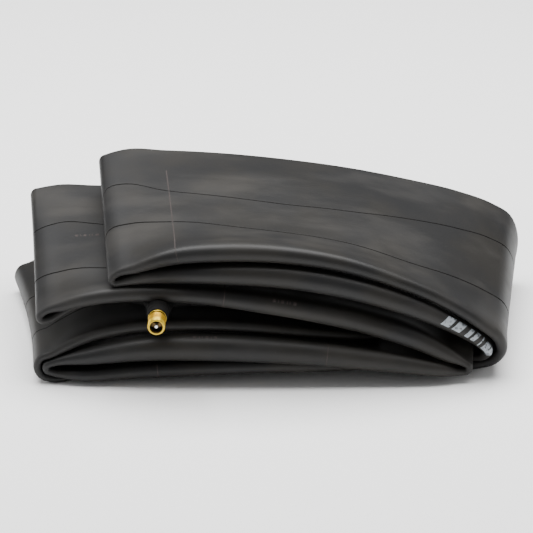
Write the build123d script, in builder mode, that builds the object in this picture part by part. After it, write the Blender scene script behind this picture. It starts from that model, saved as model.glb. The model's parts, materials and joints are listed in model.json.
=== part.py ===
from build123d import *
import os
from math import cos, radians, sin

# A bicycle inner tube, deflated, flattened and folded in eighths, lying on its side on a table.
# +X runs along the fold, +Y away from the valve, +Z up.  The origin is on the table, at the
# middle of the folded tube with its valve.  Sizes are in millimetres.

# ---- the flattened tube ----
wall = 1.7                # thickness of the rubber
flat_width = 95.0         # width of the tube when it is pressed flat
fold_length = 246.0       # length of the folded tube, from bend to bend along its outer edge
layer_gap = 0.8           # smallest air space between two layers that lie on each other
flat_thickness = 2 * wall
layer_pitch = flat_thickness + layer_gap

# ---- the valve stem, measured along its own axis from the edge of the tube ----
stem_reach = 24.0         # edge of the tube to the mouth of the stem
stem_tilt = 6.0           # degrees that the mouth points up
stem_station = -19.5      # place along the fold, in hundredths of its length from the middle
thread_radius = 3.85      # outside of the standard valve thread
thread_length = 8.8
ring_radius = 4.05        # shoulder where the brass comes out of the rubber
ring_length = 0.9
groove_radius = 3.3
groove_length = 0.9
shaft_radius = 3.0        # smooth stretch inside the rubber jacket
foot_radius = 3.9         # flange that anchors the stem in the patch
foot_length = 1.6
foot_start = 1.0          # rubber left between the foot and the edge of the tube

# ---- the bore of the stem ----
mouth_radius = 2.6        # bore that takes the thread of the valve core
tip_wall = thread_radius - mouth_radius
tip_chamfer = min(0.5, 0.4 * tip_wall)
mouth_chamfer = min(0.3, 0.25 * tip_wall)
mouth_depth = 8.6
seat_length = 1.2         # taper that the gasket of the core seals on
chamber_radius = 1.95
chamber_floor = 3.2       # inner end of the chamber, above the foot
air_radius = 1.2          # air way through the foot, the patch and the wall of the tube

# ---- the rubber round the stem ----
patch_length = 32.0
patch_height = 9.0
patch_nose = 5.0          # thickness in front of the edge of the tube
patch_lap = 9.0           # overlap on the two flat sides of the tube
patch_round = 1.6
jacket_foot_radius = 4.9
jacket_top_radius = 4.5
jacket_round = 0.5
bond_gap = 0.02           # rubber that is moulded on to brass or rubber

# ---- the valve core ----
running_gap = 0.05        # a shaft or a thread in its hole
core_step = 0.2           # space between the plug and the barrel that it swivels on
pin_recess = 0.4          # top of the pin below the mouth
pin_radius = 0.6
pin_head_radius = 0.9
pin_head_length = 0.7
pin_dome = 0.3
pin_travel = 1.5
pin_spare = 0.35          # space below the pin when it is pushed right in
pin_collar_gap = 0.15     # between the pin's collar and the barrel's bore
pin_collar_length = 0.6
plug_length = 4.2
swivel_gap = 0.15         # between the plug and the barrel's spigot
bridge_width = 1.8
bridge_length = 1.1
barrel_collar_length = 1.1
barrel_collar_gap = 0.3   # between the barrel's collar and the stem's bore
barrel_neck_depth = 0.1   # groove for the gasket, below the barrel's tube
barrel_tube_gap = 0.25    # between the barrel's tube and the stem's chamber
barrel_bore_radius = 1.1
barrel_land_length = 1.6
barrel_spigot_length = 1.2
barrel_spigot_wall = 0.3
spring_wire_radius = 0.12
spring_side_gap = 0.06
spring_turns = 7
spring_end_gap = 0.05
cup_wall = 0.25
cup_floor = 0.5
cup_depth = 0.9
cup_gasket_length = 1.05
pin_rivet_length = 0.3

# ---- where the two edges of the flat tube lie ----
stem_forward = stem_reach * cos(radians(stem_tilt))
front_y = (stem_forward - flat_width) / 2
back_y = front_y + flat_width

os.makedirs("parts", exist_ok=True)


def place(station, layers):
    """A point of the fold: hundredths of its length from the middle, and layers above the lowest."""
    return Vector(station * fold_length / 100, wall + layers * layer_pitch)


def heading(angle):
    return Vector(cos(radians(angle)), sin(radians(angle)))


# The fold is one closed line of runs and bends, followed clockwise from the top left corner.
# A run lists its places.  A bend has its centre, its radius in half layers, the angle at which
# the line comes in, and +1 where it turns clockwise.  The edge that carries the valve is the
# shorter one, so the two edges have a line each, with the same runs and bends.
FRONT_EDGE = [
    ("bend", (-27.2, 11.6), 1, 214, 1),
    ("run", (-23.6, 13.0), (-17.0, 14.2), (-7.3, 14.6), (3.3, 14.4), (13.8, 13.4), (23.6, 11.6),
     (32.5, 9.2), (38.8, 6.6), (42.4, 4.6), (43.2, 2.9), (41.4, 1.0), (38.0, 0.1)),
    ("flat", (35.0, 0.0), (27.0, 0.0)),
    ("run", (13.0, 0.35), (0.0, 0.6), (-13.0, 0.4)),
    ("flat", (-27.0, 0.0), (-38.6, 0.0)),
    ("bend", (-38.6, 1.5), 3, 180, 1),
    ("run", (-35.8, 3.9), (-30.9, 4.8), (-22.8, 5.35), (-13.0, 5.4), (-2.4, 5.1), (8.1, 4.5)),
    ("bend", (20.0, 3.9), 1, -10, -1),
    ("run", (16.3, 4.85), (6.5, 5.9), (-3.3, 6.95), (-13.0, 7.85), (-22.8, 8.35), (-30.9, 8.0)),
    ("bend", (-40.2, 7.1), 1, 204, 1),
    ("run", (-37.0, 8.5), (-30.9, 9.65), (-22.8, 10.15), (-12.2, 9.9), (-1.6, 9.05), (8.9, 7.9),
     (18.7, 6.4), (27.6, 4.7)),
    ("bend", (36.6, 2.7), 1, -12, 1),
    ("run", (31.0, 2.15), (22.0, 2.15), (11.4, 2.5), (0.0, 3.0), (-11.4, 3.2), (-22.8, 3.1)),
    ("bend", (-38.6, 1.5), 1, 180, -1),
    ("run", (-25.0, 1.1), (-13.0, 1.45), (0.0, 1.65), (12.2, 1.45), (24.4, 1.1), (35.4, 1.1),
     (39.2, 1.75), (40.4, 2.9), (39.4, 4.2), (36.2, 5.5), (30.9, 7.2), (23.6, 9.0), (13.8, 10.75),
     (3.3, 11.8), (-7.3, 12.15), (-17.0, 12.0)),
]
BACK_EDGE = [
    ("bend", (-30.2, 15.6), 1, 186, 1),
    ("run", (-26.8, 16.25), (-19.5, 16.1), (-8.1, 15.6), (4.1, 15.0), (16.3, 14.1), (27.2, 12.7),
     (37.8, 10.5), (44.7, 8.4), (48.7, 6.3), (49.3, 4.1), (47.6, 1.6), (44.0, 0.25)),
    ("flat", (40.5, 0.0), (29.0, 0.0)),
    ("run", (14.6, 0.5), (0.0, 0.8), (-14.6, 0.7)),
    ("flat", (-29.0, 0.0), (-46.6, 0.0)),
    ("bend", (-46.6, 1.5), 3, 180, 1),
    ("run", (-43.3, 3.7), (-37.8, 5.1), (-28.5, 6.15), (-17.1, 6.6), (-4.9, 6.4), (7.3, 5.6)),
    ("bend", (22.0, 4.4), 1, -10, -1),
    ("run", (17.5, 5.9), (7.3, 7.5), (-4.1, 8.7), (-15.4, 9.5), (-26.8, 9.95), (-35.8, 10.1)),
    ("bend", (-44.4, 10.95), 1, 172, 1),
    ("run", (-40.7, 11.7), (-34.1, 11.85), (-24.4, 11.85), (-13.0, 11.65), (-1.6, 11.05), (9.8, 9.95),
     (20.3, 8.4), (30.1, 6.4)),
    ("bend", (39.6, 3.1), 1, -20, 1),
    ("run", (33.5, 2.5), (24.4, 2.8), (13.0, 3.4), (0.8, 4.05), (-11.4, 4.5), (-23.6, 4.3)),
    ("bend", (-46.6, 1.5), 1, 180, -1),
    ("run", (-29.3, 1.4), (-14.6, 2.15), (0.0, 2.3), (13.8, 1.85), (26.0, 1.35), (38.5, 1.2),
     (44.3, 2.1), (46.2, 3.7), (45.0, 5.5), (40.7, 7.4), (34.1, 9.0), (25.2, 10.75), (14.6, 12.35),
     (3.3, 13.45), (-8.1, 14.1), (-18.7, 14.5)),
]


def bend_ends(bend):
    """Start, far point and end of a bend's middle line."""
    _, centre, half_layers, angle, turn = bend
    radius = half_layers * layer_pitch / 2
    middle = place(*centre)
    across = heading(angle + 90) * radius * turn
    return middle + across, middle + heading(angle) * radius, middle - across


def run_points(edge, index):
    """A run's places, with the ends it shares with the bends and flats next to it."""
    before = edge[index - 1]
    after = edge[(index + 1) % len(edge)]
    points = [place(*spot) for spot in edge[index][1:]]
    first = bend_ends(before)[2] if before[0] == "bend" else place(*before[2])
    last = bend_ends(after)[0] if after[0] == "bend" else place(*after[1])
    if (points[0] - first).length > wall:
        points.insert(0, first)
    if (points[-1] - last).length > wall:
        points.append(last)
    start = before[3] + 180 if before[0] == "bend" else 180
    finish = after[3] if after[0] == "bend" else 180
    return points, [heading(start), heading(finish)]


def run_line(edge, index):
    points, directions = run_points(edge, index)
    return Spline(*points, tangents=directions, tangent_scalars=[1, 1], mode=Mode.PRIVATE)


def trace_fold(edge, side):
    """Adds the fold's line, moved sideways by `side`, to the open line."""
    for index, piece in enumerate(edge):
        if piece[0] == "bend":
            _, centre, half_layers, angle, turn = piece
            middle = place(*centre)
            radius = half_layers * layer_pitch / 2 + turn * side
            across = heading(angle + 90) * radius * turn
            ThreePointArc(middle + across, middle + heading(angle) * radius, middle - across)
        elif piece[0] == "flat":
            lift = Vector(0, -side)
            Line(place(*piece[1]) + lift, place(*piece[2]) + lift)
        else:
            line = run_line(edge, index)
            count = 3 * len(piece)
            spots = [line @ (step / count) for step in range(count + 1)]
            ways = [line % (step / count) for step in range(count + 1)]
            moved = [spot + way.rotate(Axis.Z, 90) * side for spot, way in zip(spots, ways)]
            Spline(*moved, tangents=[ways[0], ways[-1]], tangent_scalars=[1, 1])


def fold_lines(edge, plane, side):
    """The pieces of the fold's moved line on a plane, in their order."""
    with BuildLine() as outline:
        trace_fold(edge, side)
    return [plane.from_local_coords(line) for line in outline.edges()]


def ruled_face(front_line, back_line):
    """The face between two lines, which is a true plane between the straight ones."""
    if front_line.geom_type == GeomType.LINE:
        corners = [front_line @ 0, front_line @ 1, back_line @ 1, back_line @ 0]
        return Face(Wire.make_polygon(corners))
    return Face.make_surface_from_curves(front_line, back_line)


def folded_band(front_plane, back_plane):
    """The solid between the two edges of the flat tube, ruled from one edge to the other."""
    faces = []
    caps = {front_plane: [], back_plane: []}
    for side in (wall, -wall):
        front_lines = fold_lines(FRONT_EDGE, front_plane, side)
        back_lines = fold_lines(BACK_EDGE, back_plane, side)
        for front_line, back_line in zip(front_lines, back_lines):
            faces.append(ruled_face(front_line, back_line))
        caps[front_plane].append(Wire(front_lines))
        caps[back_plane].append(Wire(back_lines))
    for outer, inner in caps.values():
        faces.append(Face(outer, [inner]))
    return Solid(Shell(faces))


# ---- the stem's axis: from the edge of the layer that carries the valve, out to the mouth ----
STEM_RUN = 8              # place in FRONT_EDGE of the layer that carries the valve
stem_x = stem_station * fold_length / 100
carrier = run_line(FRONT_EDGE, STEM_RUN)
steps = [carrier @ (step / 100) for step in range(101)]
stem_z = min(steps, key=lambda spot: abs(spot.X - stem_x)).Y
stem_base = Vector(stem_x, front_y, stem_z)
stem_way = Vector(0, -cos(radians(stem_tilt)), sin(radians(stem_tilt)))
stem_axis = Axis(stem_base, stem_way)
stem_plane = Plane(stem_base, x_dir=(1, 0, 0), z_dir=stem_way)
stem_side = Plane(stem_base, x_dir=stem_way, z_dir=(1, 0, 0))


def turned(*outline):
    """Revolves an outline of (distance from the tube's edge, radius) pairs about the stem's axis."""
    with BuildSketch(stem_side) as profile:
        with BuildLine():
            Polyline(*outline, close=True)
        make_face()
    revolve(profile.sketch, axis=stem_axis)


# ---- tube_body: the spliced ring of rubber, pressed flat and folded ----
band = folded_band(Plane.XZ.offset(-front_y), Plane.XZ.offset(-back_y))
with BuildPart() as tube_body:
    add(band)
    with BuildSketch(stem_plane.offset(-wall)):
        Circle(air_radius)
    extrude(amount=2 * wall, mode=Mode.SUBTRACT)
tube_body.part.label = "tube_body"
export_step(tube_body.part, "parts/tube_body.step")

# ---- valve_patch: the thick rubber patch that joins the stem to the tube ----
shaft_start = foot_start + foot_length
with BuildPart() as valve_patch:
    with BuildSketch(stem_plane.offset(-patch_lap)):
        SlotOverall(patch_length, patch_height)
    extrude(amount=patch_lap + patch_nose)
    fillet(valve_patch.edges().group_by(Axis(stem_base, stem_way))[-1], patch_round)
    add(band, mode=Mode.SUBTRACT)
    with BuildSketch(stem_plane):
        Circle(air_radius)
    extrude(amount=foot_start, mode=Mode.SUBTRACT)
    with BuildSketch(stem_plane.offset(foot_start - bond_gap)):
        Circle(foot_radius + bond_gap)
    extrude(amount=foot_length + 2 * bond_gap, mode=Mode.SUBTRACT)
    with BuildSketch(stem_plane.offset(shaft_start)):
        Circle(shaft_radius + bond_gap)
    extrude(amount=patch_nose, mode=Mode.SUBTRACT)
valve_patch.part.label = "valve_patch"
export_step(valve_patch.part, "parts/valve_patch.step")

# ---- stem_jacket: the rubber sleeve round the brass stem ----
thread_start = stem_reach - thread_length
ring_start = thread_start - groove_length - ring_length
with BuildPart() as stem_jacket:
    turned(
        (patch_nose + bond_gap, shaft_radius + bond_gap),
        (patch_nose + bond_gap, jacket_foot_radius - jacket_round),
        (patch_nose + bond_gap + jacket_round, jacket_foot_radius),
        (ring_start - bond_gap - jacket_round, jacket_top_radius),
        (ring_start - bond_gap, jacket_top_radius - jacket_round),
        (ring_start - bond_gap, shaft_radius + bond_gap),
    )
stem_jacket.part.label = "stem_jacket"
export_step(stem_jacket.part, "parts/stem_jacket.step")

# ---- valve_stem: the brass tube with the foot, the shoulder ring and the outside thread ----
seat_top = stem_reach - mouth_depth
seat_bottom = seat_top - seat_length
with BuildPart() as valve_stem:
    turned(
        (foot_start, air_radius),
        (foot_start, foot_radius),
        (shaft_start, foot_radius),
        (shaft_start, shaft_radius),
        (ring_start, shaft_radius),
        (ring_start, ring_radius),
        (ring_start + ring_length, ring_radius),
        (ring_start + ring_length, groove_radius),
        (thread_start, groove_radius),
        (thread_start, thread_radius),
        (stem_reach - tip_chamfer, thread_radius),
        (stem_reach, thread_radius - tip_chamfer),
        (stem_reach, mouth_radius + mouth_chamfer),
        (stem_reach - mouth_chamfer, mouth_radius),
        (seat_top, mouth_radius),
        (seat_bottom, chamber_radius),
        (chamber_floor, chamber_radius),
        (chamber_floor, air_radius),
    )
valve_stem.part.label = "valve_stem"
export_step(valve_stem.part, "parts/valve_stem.step")

# ---- places along the valve core, from the seat outwards and inwards ----
neck_bottom = seat_bottom
neck_top = seat_top + core_step
collar_top = neck_top + barrel_collar_length
plug_bottom = collar_top + core_step
plug_top = plug_bottom + plug_length
bridge_bottom = plug_top - bridge_length
spigot_top = collar_top + barrel_spigot_length
pin_top = stem_reach - pin_recess
pin_collar_top = neck_top
pin_collar_bottom = pin_collar_top - pin_collar_length
pin_bottom = chamber_floor + pin_spare + pin_travel
cup_bottom = pin_bottom + pin_rivet_length
cup_gasket_bottom = cup_bottom + cup_floor + running_gap
cup_gasket_top = cup_gasket_bottom + cup_gasket_length
barrel_bottom = cup_gasket_top + running_gap
land_top = barrel_bottom + barrel_land_length
barrel_tube_radius = chamber_radius - barrel_tube_gap
barrel_neck_radius = barrel_tube_radius - barrel_neck_depth
barrel_collar_radius = mouth_radius - barrel_collar_gap
spigot_radius = barrel_bore_radius + barrel_spigot_wall
pin_collar_radius = barrel_bore_radius - pin_collar_gap

# ---- core_plug: the threaded swivel plug, with the bridge that a key turns ----
plug_radius = mouth_radius - running_gap
with BuildPart() as core_plug:
    with BuildSketch(stem_plane.offset(plug_bottom)):
        Circle(plug_radius)
        Circle(spigot_radius + swivel_gap, mode=Mode.SUBTRACT)
    extrude(amount=plug_length - bridge_length)
    with BuildSketch(stem_plane.offset(bridge_bottom)):
        Circle(plug_radius)
        Rectangle(2 * plug_radius, bridge_width, mode=Mode.INTERSECT)
        Circle(pin_radius + 2 * running_gap, mode=Mode.SUBTRACT)
    extrude(amount=bridge_length)
core_plug.part.label = "core_plug"
export_step(core_plug.part, "parts/core_plug.step")

# ---- core_barrel: the housing of the valve core ----
with BuildPart() as core_barrel:
    turned(
        (barrel_bottom, pin_radius + running_gap),
        (barrel_bottom, barrel_tube_radius),
        (neck_bottom, barrel_tube_radius),
        (neck_bottom, barrel_neck_radius),
        (neck_top, barrel_neck_radius),
        (neck_top, barrel_collar_radius),
        (collar_top, barrel_collar_radius),
        (collar_top, spigot_radius),
        (spigot_top, spigot_radius),
        (spigot_top, barrel_bore_radius),
        (land_top, barrel_bore_radius),
        (land_top, pin_radius + running_gap),
    )
core_barrel.part.label = "core_barrel"
export_step(core_barrel.part, "parts/core_barrel.step")

# ---- barrel_gasket: the tapered seal between the barrel and the stem ----
with BuildPart() as barrel_gasket:
    turned(
        (seat_bottom + running_gap, barrel_neck_radius + running_gap),
        (seat_bottom + running_gap, chamber_radius - running_gap),
        (seat_top, mouth_radius - 2 * running_gap),
        (neck_top - running_gap, mouth_radius - 2 * running_gap),
        (neck_top - running_gap, barrel_neck_radius + running_gap),
    )
barrel_gasket.part.label = "barrel_gasket"
export_step(barrel_gasket.part, "parts/barrel_gasket.step")

# ---- core_pin: the wire that opens the valve, with its head and its spring collar ----
with BuildPart() as core_pin:
    turned(
        (pin_bottom, 0),
        (pin_bottom, pin_radius),
        (pin_collar_bottom, pin_radius),
        (pin_collar_bottom, pin_collar_radius),
        (pin_collar_top, pin_collar_radius),
        (pin_collar_top, pin_radius),
        (pin_top - pin_head_length, pin_radius),
        (pin_top - pin_head_length, pin_head_radius),
        (pin_top - pin_dome, pin_head_radius),
        (pin_top, pin_head_radius - pin_dome),
        (pin_top, 0),
    )
core_pin.part.label = "core_pin"
export_step(core_pin.part, "parts/core_pin.step")

# ---- core_spring: pushes the pin out, so that the cup closes on the barrel ----
spring_radius = barrel_bore_radius - spring_wire_radius - spring_side_gap
spring_bottom = land_top + spring_wire_radius + spring_end_gap
spring_top = pin_collar_bottom - spring_wire_radius - spring_end_gap
spring_height = spring_top - spring_bottom
with BuildPart() as core_spring:
    with BuildLine() as coil:
        Helix(
            pitch=spring_height / spring_turns,
            height=spring_height,
            radius=spring_radius,
            center=stem_base + stem_way * spring_bottom,
            direction=stem_way,
        )
    with BuildSketch(Plane(coil.line @ 0, z_dir=coil.line % 0)):
        Circle(spring_wire_radius)
    sweep(path=coil.line)
core_spring.part.label = "core_spring"
export_step(core_spring.part, "parts/core_spring.step")

# ---- cup_gasket: the rubber washer that closes the barrel ----
cup_inner_radius = barrel_tube_radius - cup_wall
with BuildPart() as cup_gasket:
    with BuildSketch(stem_plane.offset(cup_gasket_bottom)):
        Circle(cup_inner_radius - running_gap)
        Circle(pin_radius + bond_gap, mode=Mode.SUBTRACT)
    extrude(amount=cup_gasket_length)
cup_gasket.part.label = "cup_gasket"
export_step(cup_gasket.part, "parts/cup_gasket.step")

# ---- seal_cup: the brass cup that carries the washer at the foot of the pin ----
with BuildPart() as seal_cup:
    turned(
        (cup_bottom, pin_radius + bond_gap),
        (cup_bottom, barrel_tube_radius),
        (cup_bottom + cup_depth, barrel_tube_radius),
        (cup_bottom + cup_depth, cup_inner_radius),
        (cup_bottom + cup_floor, cup_inner_radius),
        (cup_bottom + cup_floor, pin_radius + bond_gap),
    )
seal_cup.part.label = "seal_cup"
export_step(seal_cup.part, "parts/seal_cup.step")
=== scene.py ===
# %% [markdown]
# # A folded inner tube
#
# The object is a bicycle inner tube, let down, pressed flat and folded in eighths, with a brass
# screw-thread valve.  It is one ring of soft rubber, so most of the work is one surface that
# follows the folds.  The valve core inside the stem is small turned work, and comes ready from
# the CAD model.  This first cell loads that model and keeps its box.

# %% Load the frame
import json
import math
import bmesh
import bpy
import numpy as np
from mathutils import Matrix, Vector


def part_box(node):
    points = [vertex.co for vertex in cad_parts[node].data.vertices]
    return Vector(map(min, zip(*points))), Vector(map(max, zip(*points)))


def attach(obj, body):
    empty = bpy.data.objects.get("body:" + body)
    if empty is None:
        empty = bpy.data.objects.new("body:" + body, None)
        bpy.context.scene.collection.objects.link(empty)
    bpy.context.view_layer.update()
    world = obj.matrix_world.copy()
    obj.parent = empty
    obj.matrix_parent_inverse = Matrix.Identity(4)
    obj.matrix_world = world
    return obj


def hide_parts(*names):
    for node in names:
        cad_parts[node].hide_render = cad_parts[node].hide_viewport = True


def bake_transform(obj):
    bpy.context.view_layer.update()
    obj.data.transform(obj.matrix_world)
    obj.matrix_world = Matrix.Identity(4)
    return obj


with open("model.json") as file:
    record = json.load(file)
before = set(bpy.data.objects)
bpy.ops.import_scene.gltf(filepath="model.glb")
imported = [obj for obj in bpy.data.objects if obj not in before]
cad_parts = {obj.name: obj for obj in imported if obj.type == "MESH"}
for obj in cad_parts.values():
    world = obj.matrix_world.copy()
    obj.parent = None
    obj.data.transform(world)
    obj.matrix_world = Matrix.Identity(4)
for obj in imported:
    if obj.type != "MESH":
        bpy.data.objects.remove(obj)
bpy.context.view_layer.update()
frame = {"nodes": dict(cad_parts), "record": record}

MM = 0.001                # the frame is in metres, and the shapes below are in millimetres


# %% [markdown]
# ## Camera
#
# The view is a product view from the front and a little above.  A long lens from a metre away
# keeps the layers nearly parallel, as on a small object that fills the frame.  The camera looks
# at a point a little above the table, in the middle of the flat tube.

# %% Camera
tube_low, tube_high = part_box("tube_body")
FRONT_Y = tube_low[1] / MM
BACK_Y = tube_high[1] / MM
VIEW_DISTANCE = 1.0                     # in metres
VIEW_HEIGHT = math.radians(27)          # above the table
AIM_DEPTH, AIM_HEIGHT = 50, 31          # behind the tube's front edge, and above the table
LENS, SENSOR_WIDTH = 144.5, 36
aim = Vector((0, (FRONT_Y + AIM_DEPTH) * MM, AIM_HEIGHT * MM))
toward = Vector((0, -math.cos(VIEW_HEIGHT), math.sin(VIEW_HEIGHT)))
camera_data = bpy.data.cameras.new("camera")
camera_data.lens = LENS
camera_data.sensor_width = SENSOR_WIDTH
camera = bpy.data.objects.new("camera", camera_data)
camera.location = aim + toward * VIEW_DISTANCE
camera.rotation_mode = "QUATERNION"
camera.rotation_quaternion = (-toward).to_track_quat("-Z", "Y")
bpy.context.collection.objects.link(camera)
bpy.context.scene.camera = camera
print("camera at", [round(v, 3) for v in camera.location])

# %% [markdown]
# ## Shader maths in plain Python
#
# The finishes below are sums and products of noises and masks.  `Field` wraps one output socket
# and lets `+`, `-` and `*` add the Math nodes, in either order, so that `1 - mask` works.
# `Finish` is a material with one method, `node`, for every other node: its type, its settings,
# and the values or links of its sockets.

# %% The two shader helpers
class Field:
    """A number that varies over a surface: one socket of a material's node tree."""

    def __init__(self, finish, socket):
        self.finish = finish
        self.socket = socket

    def combined(self, operation, first, second):
        settings = {"operation": operation}
        return self.finish.node("ShaderNodeMath", settings, 0, {0: first, 1: second})

    def __add__(self, other):
        return self.combined("ADD", self, other)

    def __sub__(self, other):
        return self.combined("SUBTRACT", self, other)

    def __rsub__(self, other):
        return self.combined("SUBTRACT", other, self)

    def __mul__(self, other):
        return self.combined("MULTIPLY", self, other)

    __radd__ = __add__
    __rmul__ = __mul__


class Finish:
    """A material with one Principled shader, and a short way to add nodes to it."""

    def __init__(self, name):
        self.material = bpy.data.materials.new(name)
        self.material.use_nodes = True
        self.tree = self.material.node_tree
        self.tree.nodes.clear()
        self.shader = self.tree.nodes.new("ShaderNodeBsdfPrincipled")
        output = self.tree.nodes.new("ShaderNodeOutputMaterial")
        self.tree.links.new(self.shader.outputs[0], output.inputs["Surface"])

    def fill(self, node, values):
        """Sets or links the sockets of a node, by name or by number."""
        for key, value in values.items():
            if isinstance(value, Field):
                self.tree.links.new(value.socket, node.inputs[key])
            else:
                node.inputs[key].default_value = value

    def node(self, kind, settings=None, output=0, values=None):
        """Adds a node: its type, its settings, the output wanted, and values for its sockets."""
        made = self.tree.nodes.new(kind)
        for name, value in (settings or {}).items():
            setattr(made, name, value)
        self.fill(made, values or {})
        return Field(self, made.outputs[output])

    def place(self, stretch=(1, 1, 1)):
        """Object coordinates in metres, stretched so that a pattern can run in one direction."""
        where = self.node("ShaderNodeTexCoord", output="Object")
        return self.node("ShaderNodeMapping", values={"Vector": where, "Scale": stretch})

    def noise(self, where, per_metre, detail=3.0, rough=0.5):
        """Soft random blotches, with that many to the metre."""
        values = {"Vector": where, "Scale": per_metre, "Detail": detail, "Roughness": rough}
        return self.node("ShaderNodeTexNoise", {}, "Fac", values)

    def step(self, field, low, high):
        """0 below low, 1 above high, smooth between."""
        values = {"Value": field, "From Min": low, "From Max": high}
        return self.node("ShaderNodeMapRange", {"interpolation_type": "SMOOTHSTEP"}, 0, values)

    def blend(self, amount, first, second):
        """Mixes two colours."""
        values = {"Factor": amount, 6: first, 7: second}
        return self.node("ShaderNodeMix", {"data_type": "RGBA"}, 2, values)

    def relief(self, height, depth, strength=1.0):
        """Turns a height in metres into a bumped normal for the shader."""
        values = {"Height": height, "Distance": depth, "Strength": strength}
        self.fill(self.shader, {"Normal": self.node("ShaderNodeBump", {}, 0, values)})


# %% [markdown]
# ## Floor and light
#
# Black rubber shows its shape only by what it reflects.  One large soft panel hangs over and
# behind the object: it draws the bright line along each rolled edge and leaves the gaps under
# the edges black.  Two weaker panels stand left and right for the ends of the folds, and a dim
# white world fills the rest.  The floor is pale painted board with a faint mottle.

# %% Floor and light
WORLD_STRENGTH = 0.28
FLOOR_SIZE = 8            # in metres
PANELS = [                # name, place, point it faces, width and depth, all in metres, and watts
    ("top_panel", (0.0, 0.22, 1.0), (0, 0.02, 0.03), (1.3, 0.8), 35),
    ("left_panel", (-0.95, 0.0, 0.30), (0, 0, 0.03), (0.3, 0.6), 4.0),
    ("right_panel", (0.95, 0.0, 0.35), (0, 0, 0.03), (0.3, 0.6), 1.8),
]
world = bpy.data.worlds.new("studio")
world.use_nodes = True
background = world.node_tree.nodes["Background"]
background.inputs["Color"].default_value = (1, 1, 1, 1)
background.inputs["Strength"].default_value = WORLD_STRENGTH
bpy.context.scene.world = world


def panel(name, place, target, size, power):
    """A soft rectangular light that faces a point of the object."""
    lamp = bpy.data.lights.new(name, "AREA")
    lamp.shape = "RECTANGLE"
    lamp.size, lamp.size_y = size
    lamp.energy = power
    holder = bpy.data.objects.new(name, lamp)
    holder.location = place
    holder.rotation_mode = "QUATERNION"
    holder.rotation_quaternion = (Vector(place) - Vector(target)).to_track_quat("Z", "Y")
    bpy.context.collection.objects.link(holder)


for panel_values in PANELS:
    panel(*panel_values)

board = Finish("pale_board")
board_mottle = board.noise(board.place(), 7, 4)
pale, paler = (0.94, 0.94, 0.935, 1), (0.97, 0.97, 0.97, 1)
board.fill(board.shader, {
    "Base Color": board.blend(board_mottle, paler, pale),
    "Roughness": 0.75 + board_mottle * 0.1,
})
bpy.ops.mesh.primitive_plane_add(size=FLOOR_SIZE)
floor = bpy.context.object
floor.name = "floor"
floor.data.materials.append(board.material)
print("panels:", len(PANELS), "world strength:", WORLD_STRENGTH)

# %% [markdown]
# ## The rubber's finish
#
# Butyl rubber comes out of its mould black, with a faint grain, and is dusted with talc so that
# it doesn't stick to itself.  Handling rubs the talc off in broad smears.  So the colour is a
# near black that drifts between a cool and a warm grey, with pale dust in soft patches, the
# sheen changes with the dust, and the relief is a fine grain with a few shallow dimples.  The
# rubber of the valve, of the mould grooves and of the fine ribs is dull, so those three share
# one plain speckled finish in different colours.  The valve's rubber and the grooves' rubber are
# painted blacker than the tube: painted shade in the dark gap round the valve and in the grooves.

# %% Rubber
def dusted_rubber(name):
    """The tube's black rubber with talc on it."""
    finish = Finish(name)
    place = finish.place()
    along = finish.place((1, 3, 3))
    smear = finish.step(finish.noise(along, 16, 4, 0.55), 0.42, 0.72)
    patch = finish.noise(place, 34, 3)
    grain = finish.noise(place, 2600, 2)
    dimple = finish.noise(place, 420, 2)
    cool = (0.0068, 0.0070, 0.0076, 1)
    warm = (0.0110, 0.0100, 0.0085, 1)
    talc = (0.050, 0.046, 0.041, 1)
    base = finish.blend(finish.step(patch, 0.35, 0.65), cool, warm)
    specks = finish.step(finish.noise(place, 900, 3), 0.66, 0.74)
    cover = smear * patch * 0.55 + specks * 0.16 + 0.04
    finish.fill(finish.shader, {
        "Base Color": finish.blend(cover, base, talc),
        "Roughness": 0.42 + smear * 0.12 + patch * 0.10,
        "Specular IOR Level": 0.28,
    })
    finish.relief(grain * 0.35 + dimple * 0.65, 0.00006, 0.8)
    return finish.material


def matt_rubber(name, dark, light):
    """Dull rubber that is speckled between two colours."""
    finish = Finish(name)
    speck = finish.noise(finish.place(), 700, 3)
    finish.fill(finish.shader, {
        "Base Color": finish.blend(speck, dark, light),
        "Roughness": 0.72 + speck * 0.15,
        "Specular IOR Level": 0.14,
    })
    finish.relief(speck, 0.00004, 0.5)
    return finish.material


RUBBER_COLOURS = {        # dark and light speckles
    # painted shade: the valve's rubber is blacker than the tube, so the patch and sleeve sink into
    # the shade round the valve
    "moulded_rubber": ((0.0025, 0.0025, 0.0025, 1), (0.006, 0.0055, 0.005, 1)),
    # painted shade: the groove rubber is blacker than the tube, for the shade in the mould grooves
    "groove_rubber_painted_shade": ((0.002, 0.002, 0.002, 1), (0.006, 0.005, 0.004, 1)),
    "seam_rubber": ((0.034, 0.028, 0.027, 1), (0.062, 0.053, 0.050, 1)),
}
tube_rubber = dusted_rubber("tube_rubber")
moulded_rubber, groove_rubber_painted_shade, seam_rubber = [
    matt_rubber(name, *colours) for name, colours in RUBBER_COLOURS.items()]
print("rubber finishes:", 1 + len(RUBBER_COLOURS))
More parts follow.
